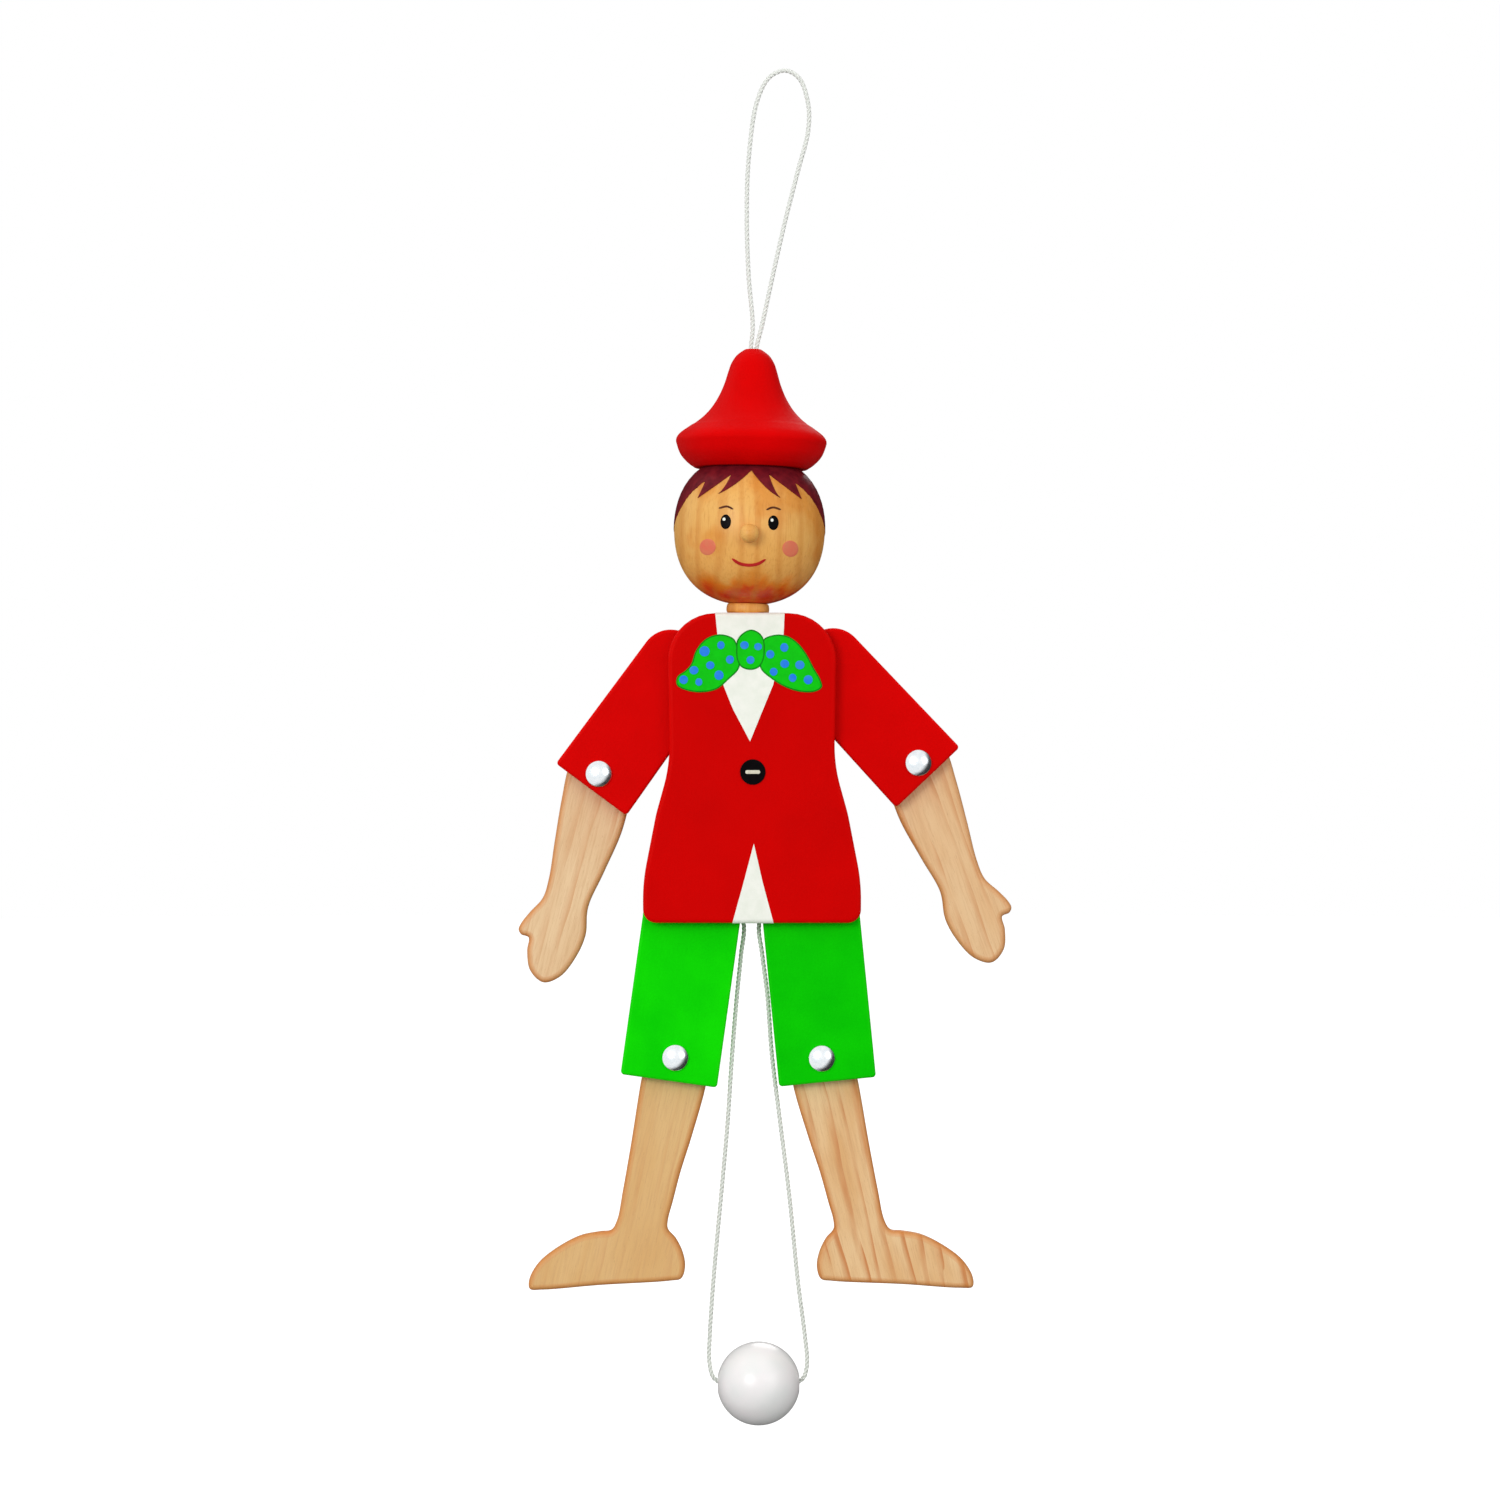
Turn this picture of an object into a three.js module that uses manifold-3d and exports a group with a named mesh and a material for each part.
// A flat wooden jumping jack: a turned head and cap on a torso of two boards, with four jointed limbs
// between the boards. Pulling the bead down swings all four limbs outwards.
// Millimetres, +Z up, and the figure faces -Y. The origin is the underside of the hanging loop's crown.
// Left and right are the sides as seen from the front, so left is -X.
import * as THREE from "three";
import { mergeVertices } from "three/addons/utils/BufferGeometryUtils.js";
import Module from "manifold-3d";

const wasm = await Module();
wasm.setup();

// ---- driving dimensions ----
const ARC_STEPS = 3; // steps on half of each rounded corner
const FIGURE_X = -8.84; // the figure's middle plane: the loop's crown leans to its right
const GAP = 0.4; // running gap between layers
const BOARD = 4; // thickness of every board
const UPPER_REAR = 0.8; // rear face of the sleeves and the shorts
const FRONT_REAR = UPPER_REAR - BOARD - GAP; // rear face of the torso's front board
const LOWER_REAR = UPPER_REAR + GAP + BOARD; // rear face of the forearms and the shins
const BACK_FRONT = -FRONT_REAR; // front face of the torso's back board
const BACK_REAR = BACK_FRONT + BOARD;
const CORD_Y = 2.75; // depth of the pull cord between the boards
const KNOT_Y = 1.5; // depth of the small knots, between the limbs and the cord

const NECK = { x: -1.1, z: -142, lean: 1.2 }; // the head leans this many degrees to the right
const HEAD_RADIUS = 20;
const HEAD_SQUARENESS = 0.04; // how much farther out the ball is at 45 degrees up or down, as a share
const HEAD_Z = -121.3;
const CAP_BOTTOM = -105;
const TORSO_TOP = -143.6;
const TORSO_HEIGHT = 81.7;
const BACK_INSET = 1.2; // how far the back board stays inside the front board
const NOSE_DROP = 2.2; // nose below the middle of the head
const NOSE_RADIUS = 2.5;
const NOSE_PEG = 1;
const HEAD_BORE = 3.15;
const HEAD_BORE_TOP = -132;
const DOWEL_RADIUS = 2.5;
const DOWEL_FOOT = -153;

const SHOULDER = { x: 18.4, z: -156.1 };
const HIP = { x: 15, z: -216.4 };
const ELBOW = { n: 0, d: 37.2 }; // rivet in the sleeve: n outwards, d down from the limb's pivot
const KNEE = { n: -1, d: 45 };
const ARM_LEVER = { radius: 8.6, angle: 71.7 }; // cord pin, degrees up from the limb's inward side
const LEG_LEVER = { radius: 9, angle: 36.85 };
// Degrees outwards from straight down, at rest. The two sides hang a little differently.
const REST = {
  left: { arm: 36.5, forearm: 14.5, thigh: 8, shin: 12.5 },
  right: { arm: 43.5, forearm: 19.8, thigh: 5.7, shin: 13.4 },
};

// How far each lower board is moved outwards and down from its rivet hole: the holes are drilled by eye.
const FOREARM_SHIFT = { left: [0, 0], right: [0, -0.8] };
const SHIN_SHIFT = { left: [0.1, 0], right: [0.5, 0] };

const RIVET_HEAD = 3.5;
const RIVET_SHAFT = 1.4;
const NAIL_SHAFT = 1;
const PIN_SHAFT = 0.5;
const PIN_DEPTH = 3.4; // how deep a cord pin sits in its board
const KNOT_RADIUS = 0.45;
const RUNNING = 0.15; // radial clearance of a shaft in its hole
const CORD_RADIUS = 0.63;
const BEAD_RADIUS = 11;
const BEAD = { x: 1.75, y: -0.6, z: -347.7 };
const SPACER = { x: 15, z: -189, radius: 3 };

// ---- materials ----
const paint = (color) => new THREE.MeshStandardMaterial({ color, roughness: 0.45, metalness: 0 });
const RED = paint(0xc80505);
const BRIGHT_RED = paint(0xe10008);
const GREEN = paint(0x14cd00);
const VARNISH = paint(0xd9953f);
const BEECH = new THREE.MeshStandardMaterial({ color: 0xdeb887, roughness: 0.6, metalness: 0 });
const GLOSS_WHITE = new THREE.MeshStandardMaterial({ color: 0xf4f2ec, roughness: 0.15 });
const STEEL = new THREE.MeshStandardMaterial({ color: 0xc9ccd0, roughness: 0.25, metalness: 1 });
const COTTON = new THREE.MeshStandardMaterial({ color: 0xdfe3d6, roughness: 0.9, metalness: 0 });

// ---- solids ----
function solidOf(geometry) {
  const bare = geometry.index ? geometry.toNonIndexed() : geometry.clone();
  bare.deleteAttribute("normal");
  bare.deleteAttribute("uv");
  const merged = mergeVertices(bare, 1e-4);
  const vertProperties = merged.getAttribute("position").array;
  const triVerts = new Uint32Array(merged.index.array);
  return new wasm.Manifold(new wasm.Mesh({ numProp: 3, vertProperties, triVerts }));
}

function geometryOf(solid) {
  const mesh = solid.getMesh();
  const geometry = new THREE.BufferGeometry();
  geometry.setAttribute("position", new THREE.BufferAttribute(mesh.vertProperties, 3));
  geometry.setIndex(new THREE.BufferAttribute(mesh.triVerts, 1));
  geometry.computeVertexNormals();
  return geometry;
}

function cut(geometry, tools) {
  const whole = solidOf(geometry);
  return geometryOf(tools.reduce((rest, tool) => rest.subtract(solidOf(tool)), whole));
}

// A turned piece: the profile is a list of [radius, height] from the axis's low end up.
function turned(profile, segments = 24) {
  const points = profile.map(([radius, height]) => new THREE.Vector2(radius, height));
  return new THREE.LatheGeometry(points, segments);
}
const turnedAlongY = turned;
const turnedAlongZ = (profile, segments) => turned(profile, segments).rotateX(Math.PI / 2);
const turnedAlongX = (profile, segments) => turned(profile, segments).rotateZ(-Math.PI / 2);

// Points of a profile along a circle about (0, middle), from one angle to another, in degrees up
// from the radius line.
function arcProfile(middle, radius, from, to, steps) {
  return Array.from({ length: steps + 1 }, (_, i) => {
    const angle = THREE.MathUtils.degToRad(from + ((to - from) * i) / steps);
    return [radius * Math.cos(angle), middle + radius * Math.sin(angle)];
  });
}

// A closed shape through the points, without any that lies on the one before it.
function closedShape(points) {
  const apart = (point, i) => point.distanceTo(points.at(i - 1)) > 0.01;
  return new THREE.Shape(points.filter(apart));
}

// A closed outline of straight runs with rounded corners: each corner is [x, z, radius].
function roundedOutline(corners) {
  const path = new THREE.Path();
  corners.forEach(([x, z, radius], i) => {
    const corner = new THREE.Vector2(x, z);
    const before = corners.at(i - 1);
    const after = corners[(i + 1) % corners.length];
    const back = new THREE.Vector2(before[0], before[1]).sub(corner).normalize();
    const onward = new THREE.Vector2(after[0], after[1]).sub(corner).normalize();
    const half = Math.acos(back.dot(onward)) / 2;
    const middle = back.clone().add(onward).normalize();
    const centre = middle.multiplyScalar(radius / Math.sin(half)).add(corner);
    const start = back.clone().multiplyScalar(radius / Math.tan(half)).add(corner).sub(centre);
    const end = onward.clone().multiplyScalar(radius / Math.tan(half)).add(corner).sub(centre);
    const rightTurn = back.cross(onward) > 0;
    path.absarc(centre.x, centre.y, radius, start.angle(), end.angle(), rightTurn);
  });
  return closedShape(path.getPoints(ARC_STEPS));
}

function circle(x, z, radius, sides) {
  return Array.from({ length: sides }, (_, i) => {
    const angle = (2 * Math.PI * i) / sides;
    return new THREE.Vector2(x + radius * Math.cos(angle), z + radius * Math.sin(angle));
  });
}

// A board sawn to an outline in the XZ plane.
function board(outline, rear) {
  const options = { depth: BOARD, bevelEnabled: false };
  return new THREE.ExtrudeGeometry(outline, options).rotateX(Math.PI / 2).translate(0, rear, 0);
}

// Drills for round holes [x, z, radius] that run along Y from one depth to another.
function drills(holes, from, to) {
  return holes.map(([x, z, radius]) =>
    new THREE.CylinderGeometry(radius, radius, to - from, 16).translate(x, (from + to) / 2, z),
  );
}

function drilledBoard(outline, rear, holes) {
  return cut(board(outline, rear), drills(holes, rear - BOARD - 1, rear + 1));
}

// A tube along hand-laid points, with an equal number of steps between each point and the next.
function cordTube(points, stepsBetween = 2) {
  const route = new THREE.CatmullRomCurve3(points.map((p) => new THREE.Vector3(...p)));
  route.getUtoTmapping = (u) => u;
  const section = new THREE.Shape(circle(0, 0, CORD_RADIUS, 8));
  const steps = (points.length - 1) * stepsBetween;
  return new THREE.ExtrudeGeometry(section, { extrudePath: route, steps });
}

function piece(name, geometry, material) {
  const mesh = new THREE.Mesh(geometry, material);
  mesh.name = name;
  return mesh;
}

// ---- torso ----
// The neck edge, sloped shoulders, straight sides, a slight waist and flared hips.
function torsoOutline(inset) {
  const bottom = TORSO_TOP - TORSO_HEIGHT + inset;
  const rightSide = [
    [22.4 - inset, TORSO_TOP, 12.5],
    [21.7 - inset, TORSO_TOP - 40, 40],
    [25.3 - inset, TORSO_TOP - 53, 40],
    [28.8 - inset, TORSO_TOP - 71, 50],
    [28.7 - inset, bottom, 3.5],
  ];
  const leftSide = rightSide.map(([x, z, radius]) => [-x, z, radius]).reverse();
  return roundedOutline([...rightSide, ...leftSide]);
}

const BLIND_DEPTH = 2.4;
const NAIL_HOLES = [SHOULDER, HIP].flatMap(({ x, z }) => [
  [-x, z, NAIL_SHAFT + RUNNING],
  [x, z, NAIL_SHAFT + RUNNING],
]);

// The front board's nail holes are blind.
function torsoFront() {
  const holes = drills(NAIL_HOLES, FRONT_REAR - BLIND_DEPTH, FRONT_REAR + 1);
  return cut(board(torsoOutline(0), FRONT_REAR), holes);
}

function torsoBack() {
  return drilledBoard(torsoOutline(BACK_INSET), BACK_REAR, NAIL_HOLES);
}

// The block glued between the boards, with a blind bore for the dowel.
function neckBlock() {
  const width = 10.4;
  const height = 16;
  const depth = 7;
  const top = TORSO_TOP - GAP;
  const block = new THREE.BoxGeometry(width, depth, height).translate(0, 0, top - height / 2);
  const radius = DOWEL_RADIUS + RUNNING;
  const foot = DOWEL_FOOT - 1;
  const bore = turnedAlongZ([[0, foot], [radius, foot], [radius, top + 1], [0, top + 1]], 16);
  return cut(block, [bore]);
}

// The dowel that joins the head to the torso, with the collar that shows between them.
function neckDowel() {
  const seat = TORSO_TOP + 0.1;
  const shoulder = -141.3;
  const tenon = HEAD_BORE - RUNNING;
  const tenonTop = HEAD_BORE_TOP - GAP;
  const profile = [
    [0, DOWEL_FOOT],
    [DOWEL_RADIUS, DOWEL_FOOT],
    [DOWEL_RADIUS, seat],
    [5.2, seat],
    [5.6, seat + 1.1],
    [5.5, shoulder + 0.5],
    [tenon, shoulder],
    [tenon, tenonTop],
    [0, tenonTop],
  ];
  return turnedAlongZ(profile, 16);
}

function waistSpacer(side) {
  const half = BACK_FRONT - 0.1;
  const profile = [[0, -half], [SPACER.radius, -half], [SPACER.radius, half], [0, half]];
  return turnedAlongY(profile, 16).translate(side * SPACER.x, 0, SPACER.z);
}

// A round-headed nail driven in from the back: the shaft ends inside the front board.
function pivotNail(x, z) {
  const tip = FRONT_REAR - 2.2;
  const seat = BACK_REAR + 0.1;
  const profile = [
    [0, tip],
    [NAIL_SHAFT, tip + 0.3],
    [NAIL_SHAFT, seat],
    [2, seat],
    [1.9, seat + 0.4],
    [1.2, seat + 0.8],
    [0, seat + 0.9],
  ];
  return turnedAlongY(profile, 16).translate(x, 0, z);
}

// ---- head and cap ----
// The distance from the head's middle to its surface, for an angle in degrees up from level.
function headReach(degrees) {
  const corner = Math.sin(2 * THREE.MathUtils.degToRad(degrees)) ** 2;
  return HEAD_RADIUS * (1 + HEAD_SQUARENESS * corner);
}

// Points of a profile that runs outside the head's surface by gap, from one angle to another.
function headProfile(gap, from, to, steps) {
  return Array.from({ length: steps + 1 }, (_, i) => {
    const degrees = from + ((to - from) * i) / steps;
    const reach = headReach(degrees) + gap;
    const angle = THREE.MathUtils.degToRad(degrees);
    return [reach * Math.cos(angle), HEAD_Z + reach * Math.sin(angle)];
  });
}

function head() {
  const lowest = -THREE.MathUtils.radToDeg(Math.acos(HEAD_BORE / HEAD_RADIUS));
  const outside = headProfile(0, lowest, 90, 14);
  const ball = turnedAlongZ([[0, HEAD_BORE_TOP], [HEAD_BORE, HEAD_BORE_TOP], ...outside], 28);
  const length = 12;
  const radius = NOSE_PEG + RUNNING;
  const noseHole = new THREE.CylinderGeometry(radius, radius, length, 12);
  return cut(ball, [noseHole.translate(0, -HEAD_RADIUS, HEAD_Z - NOSE_DROP)]);
}

// A short round button of a nose on a peg.
function nose() {
  const pegEnd = -14.5;
  const middle = -HEAD_RADIUS - NOSE_RADIUS - 0.1;
  const rearEdge = THREE.MathUtils.radToDeg(Math.acos(NOSE_PEG / NOSE_RADIUS));
  const ball = arcProfile(middle, NOSE_RADIUS, -90, rearEdge, 6);
  const profile = [...ball, [NOSE_PEG, pegEnd], [0, pegEnd]];
  return turnedAlongY(profile, 16).translate(0, 0, HEAD_Z - NOSE_DROP);
}

// A turned cap: a rounded brim, a hollow-sided cone above it, and a socket for the head.
function cap() {
  const bore = 1.9;
  const knotRoom = 4.2;
  const gap = 0.25;
  const socketTop = 78; // degrees up from the head's middle
  const socketFoot = 51.7;
  const up = (height) => CAP_BOTTOM + height;
  const rim = 13;
  return turnedAlongZ(
    [
      [rim, up(0)],
      [15, up(0)],
      [16.7, up(1.2)],
      [18.7, up(3.4)],
      [19.7, up(5.8)],
      [20, up(7.3)],
      [19.3, up(8.7)],
      [16.6, up(10.8)],
      [13.6, up(12.9)],
      [11.1, up(15.5)],
      [9, up(18.8)],
      [7.5, up(22.3)],
      [6.5, up(25.6)],
      [5.7, up(27.9)],
      [4.4, up(29.9)],
      [2.9, up(31.1)],
      [bore, up(31.6)],
      [bore, up(11)],
      [knotRoom, up(11)],
      ...headProfile(gap, socketTop, socketFoot, 4),
      [rim, up(0)],
    ],
    28,
  );
}

// ---- cords, their knots and the bead ----
// The hanging loop, from the knot inside the cap up to the crown and back.
const LOOP_ROUTE = [
  [-0.8, 0, -94.4],
  [-0.6, 0, -84],
  [-0.4, 0, -74],
  [0.2, 0, -67.5],
  [-0.88, 0, -54.1],
  [-1.38, 0, -38.5],
  [-0.88, 0, -22.8],
  [1.4, 0, -7.4],
  [4.6, 0, -1.2],
  [8.84, 0, CORD_RADIUS],
  [12.5, 0, -1.4],
  [14.9, 0, -8.2],
  [14.9, 0, -15.4],
  [12.2, 0, -26],
  [9, 0, -38.5],
  [5.84, 0, -52.3],
  [2.8, 0, -66.4],
  [1.05, 0, -74],
  [0.85, 0, -84],
  [0.65, 0, -94.4],
];

// The pull cord: from the left shoulder's pin past the left hip's pin, out of the torso, through the
// bead and back up on the right.
const PULL_ROUTE = [
  [-11, CORD_Y, -150.3],
  [-9.8, CORD_Y, -170],
  [-8.4, CORD_Y, -191],
  [-6.8, CORD_Y, -211],
  [-4.9, 2.6, -218.5],
  [-2.2, 2.2, -226],
  [-2.9, 2.1, -234],
  [-4, 2, -245],
  [-5.3, 1.8, -261],
  [-6.5, 0.9, -279],
  [-8.2, -0.2, -298],
  [-10.2, BEAD.y, -320],
  [-11.2, BEAD.y, -335],
  [-11.3, BEAD.y, -342],
  [-10.2, BEAD.y, -346.1],
  [-7.6, BEAD.y, BEAD.z],
  [-3, BEAD.y, BEAD.z],
  [BEAD.x, BEAD.y, BEAD.z],
  [6.5, BEAD.y, BEAD.z],
  [11.1, BEAD.y, BEAD.z],
  [13.7, BEAD.y, -346.1],
  [14.6, BEAD.y, -342],
  [14, BEAD.y, -335],
  [12.1, BEAD.y, -320],
  [9.9, -0.2, -298],
  [7.4, 0.9, -278],
  [5.3, 1.8, -261],
  [4.1, 2, -245],
  [2.7, 2.1, -234],
  [1.9, 2.2, -226],
  [4.9, 2.6, -218.5],
  [7, CORD_Y, -211],
  [8.4, CORD_Y, -191],
  [9.6, CORD_Y, -170],
  [10.6, CORD_Y, -151.2],
];

function hangingKnot() {
  const flat = 0.75;
  return new THREE.SphereGeometry(2.6, 12, 8).scale(1, 1, flat).translate(-0.1, 0, -97);
}

function pinKnot() {
  const ring = new THREE.TorusGeometry(PIN_SHAFT + 0.6, KNOT_RADIUS, 6, 12);
  return ring.rotateX(Math.PI / 2).translate(0, KNOT_Y, 0);
}

function cordPin() {
  const front = UPPER_REAR - PIN_DEPTH;
  const rear = KNOT_Y + KNOT_RADIUS;
  return turnedAlongY([[0, front], [PIN_SHAFT, front], [PIN_SHAFT, rear], [0, rear]], 12);
}

function bead() {
  const bore = 1.2;
  const mouth = 2.3;
  const mouthAngle = THREE.MathUtils.radToDeg(Math.acos(mouth / BEAD_RADIUS));
  const throat = 7;
  const profile = [
    [bore, -throat],
    ...arcProfile(0, BEAD_RADIUS, -mouthAngle, mouthAngle, 12),
    [bore, throat],
    [bore, -throat],
  ];
  return turnedAlongX(profile, 24).translate(BEAD.x, BEAD.y, BEAD.z);
}

// ---- limbs: outlines for the side given as -1 (left) or 1 (right), pivot at the origin ----
// Points of a limb are [n, d]: n outwards and d down from the pivot, on the limb's own axes.
// A sleeve: straight sides, a square cuff, a low round shoulder and an ear for the cord pin.
function sleeveOutline(side) {
  const corners = [
    [10.8, 41.8, 1],
    [10.7, -3.1, 8],
    [-3.4, -10.9, 4],
    [-11.4, -3, 6],
    [-12.4, 41.8, 1],
  ];
  return roundedOutline(corners.map(([n, d, radius]) => [side * n, -d, radius]));
}

// A trouser leg: round over the pivot, straight sides, a square hem.
function trouserOutline(side) {
  const outer = 12.8;
  const inner = 13;
  const hem = 51.4;
  const top = (outer + inner) / 2;
  const corners = [
    [outer, hem, 1],
    [outer, -top, top],
    [-inner, -top, top],
    [-inner, hem, 1],
  ];
  return roundedOutline(corners.map(([n, d, radius]) => [side * n, -d, radius]));
}

// A closed smooth outline through points [n, d], moved outwards and down by shift.
function smoothOutline(side, points, shift) {
  const [out, down] = shift;
  const placed = points.map(([n, d]) => new THREE.Vector3(side * (n + out), -d - down, 0));
  const curve = new THREE.CatmullRomCurve3(placed, true, "centripetal");
  return closedShape(curve.getPoints(points.length * 3).map(({ x, y }) => new THREE.Vector2(x, y)));
}

// A round top, a forearm that narrows to the wrist, a thumb on the outer side and a mitten hand.
const FOREARM_EDGE = [
  [-9.6, 5],
  [-9.2, -3.4],
  [-4.8, -8.4],
  [1.2, -9.2],
  [6.8, -6],
  [8.4, 0],
  [8.1, 9],
  [7.1, 20.3],
  [6.1, 30.5],
  [6.4, 35.8],
  [8.7, 40.2],
  [10.2, 43.5],
  [10.5, 45.5],
  [9.5, 46.6],
  [7.4, 46.9],
  [6.9, 50.4],
  [4.8, 55.3],
  [0.6, 57.5],
  [-3.4, 54.8],
  [-6.1, 48.8],
  [-7.1, 42.6],
  [-5.9, 35.2],
  [-7.6, 25.4],
  [-9.5, 14],
];

// A round top, a shin that narrows to the ankle, a heel, and a foot that points outwards.
const SHIN_EDGE = [
  [-9.6, 5],
  [-8.6, -3.2],
  [-4.6, -7.4],
  [0.6, -8.2],
  [5.6, -5.4],
  [7.5, 0],
  [7.5, 8],
  [6.5, 24.9],
  [5.9, 38],
  [5.7, 46],
  [6.6, 48.9],
  [9.5, 50],
  [14.4, 52.2],
  [20.2, 57.2],
  [23.7, 61.8],
  [25.1, 66.4],
  [24.4, 68.9],
  [21.1, 68.4],
  [6.5, 63.9],
  [-11.6, 58.7],
  [-14.3, 57.5],
  [-14.7, 54.5],
  [-13.3, 50.8],
  [-10.6, 47.4],
  [-8, 45.4],
  [-7.5, 43],
  [-7.7, 38],
  [-8, 30],
  [-8.9, 19.6],
];

const leverPlace = ({ radius, angle }) => {
  const up = THREE.MathUtils.degToRad(angle);
  return { n: -radius * Math.cos(up), d: -radius * Math.sin(up) };
};

// A rivet with a domed head in front and a clinched end over the washer behind.
function rivet() {
  const front = UPPER_REAR - BOARD - 0.1;
  const washerRear = LOWER_REAR + 0.75;
  const profile = [
    [0, front - 1.7],
    [2.1, front - 1.28],
    [3.2, front - 0.65],
    [RIVET_HEAD, front - 0.35],
    [RIVET_HEAD, front],
    [RIVET_SHAFT, front],
    [RIVET_SHAFT, washerRear],
    [2.1, washerRear + 0.1],
    [1.6, washerRear + 0.8],
    [0, washerRear + 0.9],
  ];
  return turnedAlongY(profile, 16);
}

function washer() {
  const front = LOWER_REAR + 0.1;
  const rear = front + 0.5;
  const hole = RIVET_SHAFT + RUNNING;
  const profile = [[hole, front], [3.1, front], [3.1, rear], [hole, rear], [hole, front]];
  return turnedAlongY(profile, 16);
}

// One limb as a chain of two boards: an upper board that carries the rivet, the washer, the cord pin
// and its knot, and a lower board that turns on the rivet.
function limb({ side, pivot, upper, lower, joint, lever, upperAngle, lowerAngle }) {
  const place = ({ n, d }) => [side * n, -d];
  const [jointX, jointZ] = place(joint);
  const pin = place(leverPlace(lever));
  const turn = (degrees) => -side * THREE.MathUtils.degToRad(degrees);
  const holes = [
    [0, 0, NAIL_SHAFT + RUNNING],
    [jointX, jointZ, RIVET_SHAFT + RUNNING],
    [...pin, PIN_SHAFT + RUNNING],
  ];
  const group = new THREE.Group();
  group.position.set(side * pivot.x, 0, pivot.z);
  group.rotation.y = turn(upperAngle);
  group.add(piece(upper.name, drilledBoard(upper.outline, UPPER_REAR, holes), upper.material));

  const swing = new THREE.Group();
  swing.position.set(jointX, 0, jointZ);
  swing.rotation.y = turn(lowerAngle - upperAngle);
  const hole = [[0, 0, RIVET_SHAFT + RUNNING]];
  swing.add(piece(lower.name, drilledBoard(lower.outline, LOWER_REAR, hole), BEECH));
  swing.add(piece(`${joint.name}_rivet`, rivet(), STEEL));
  swing.add(piece(`${joint.name}_washer`, washer(), STEEL));
  group.add(swing);

  const pinGroup = new THREE.Group();
  pinGroup.position.set(pin[0], 0, pin[1]);
  pinGroup.add(piece(`${pivot.name}_cord_pin`, cordPin(), STEEL));
  pinGroup.add(piece(`${pivot.name}_knot`, pinKnot(), COTTON));
  group.add(pinGroup);
  return group;
}

function arm(sideName, side) {
  return limb({
    side,
    pivot: { ...SHOULDER, name: `${sideName}_shoulder` },
    upper: {
      name: `${sideName}_upper_arm`,
      outline: sleeveOutline(side),
      material: RED,
    },
    lower: {
      name: `${sideName}_forearm`,
      outline: smoothOutline(side, FOREARM_EDGE, FOREARM_SHIFT[sideName]),
    },
    joint: { ...ELBOW, name: `${sideName}_elbow` },
    lever: ARM_LEVER,
    upperAngle: REST[sideName].arm,
    lowerAngle: REST[sideName].forearm,
  });
}

function leg(sideName, side) {
  return limb({
    side,
    pivot: { ...HIP, name: `${sideName}_hip` },
    upper: {
      name: `${sideName}_upper_leg`,
      outline: trouserOutline(side),
      material: GREEN,
    },
    lower: {
      name: `${sideName}_lower_leg`,
      outline: smoothOutline(side, SHIN_EDGE, SHIN_SHIFT[sideName]),
    },
    joint: { ...KNEE, name: `${sideName}_knee` },
    lever: LEG_LEVER,
    upperAngle: REST[sideName].thigh,
    lowerAngle: REST[sideName].shin,
  });
}

// ---- the whole figure ----
const figure = new THREE.Group();
figure.position.x = FIGURE_X;
const leaning = new THREE.Group();
leaning.position.set(NECK.x, 0, NECK.z);
leaning.rotation.y = THREE.MathUtils.degToRad(NECK.lean);
const headGroup = new THREE.Group();
headGroup.position.z = -NECK.z;
headGroup.add(
  piece("neck_block", neckBlock(), BEECH),
  piece("neck_dowel", neckDowel(), BEECH),
  piece("head", head(), VARNISH),
  piece("nose", nose(), VARNISH),
  piece("cap", cap(), BRIGHT_RED),
);
leaning.add(headGroup);
figure.add(
  leaning,
  piece("torso_front", torsoFront(), RED),
  piece("torso_back", torsoBack(), BEECH),
  piece("hanging_knot", hangingKnot(), COTTON),
  piece("hanging_cord", cordTube(LOOP_ROUTE), COTTON),
  piece("pull_cord", cordTube(PULL_ROUTE), COTTON),
  piece("pull_bead", bead(), GLOSS_WHITE),
);
for (const [sideName, side] of [["left", -1], ["right", 1]]) {
  figure.add(
    piece(`${sideName}_waist_spacer`, waistSpacer(side), BEECH),
    piece(`${sideName}_shoulder_nail`, pivotNail(side * SHOULDER.x, SHOULDER.z), STEEL),
    piece(`${sideName}_hip_nail`, pivotNail(side * HIP.x, HIP.z), STEEL),
    arm(sideName, side),
    leg(sideName, side),
  );
}

const puppet = new THREE.Group();
puppet.add(figure);
export default puppet;
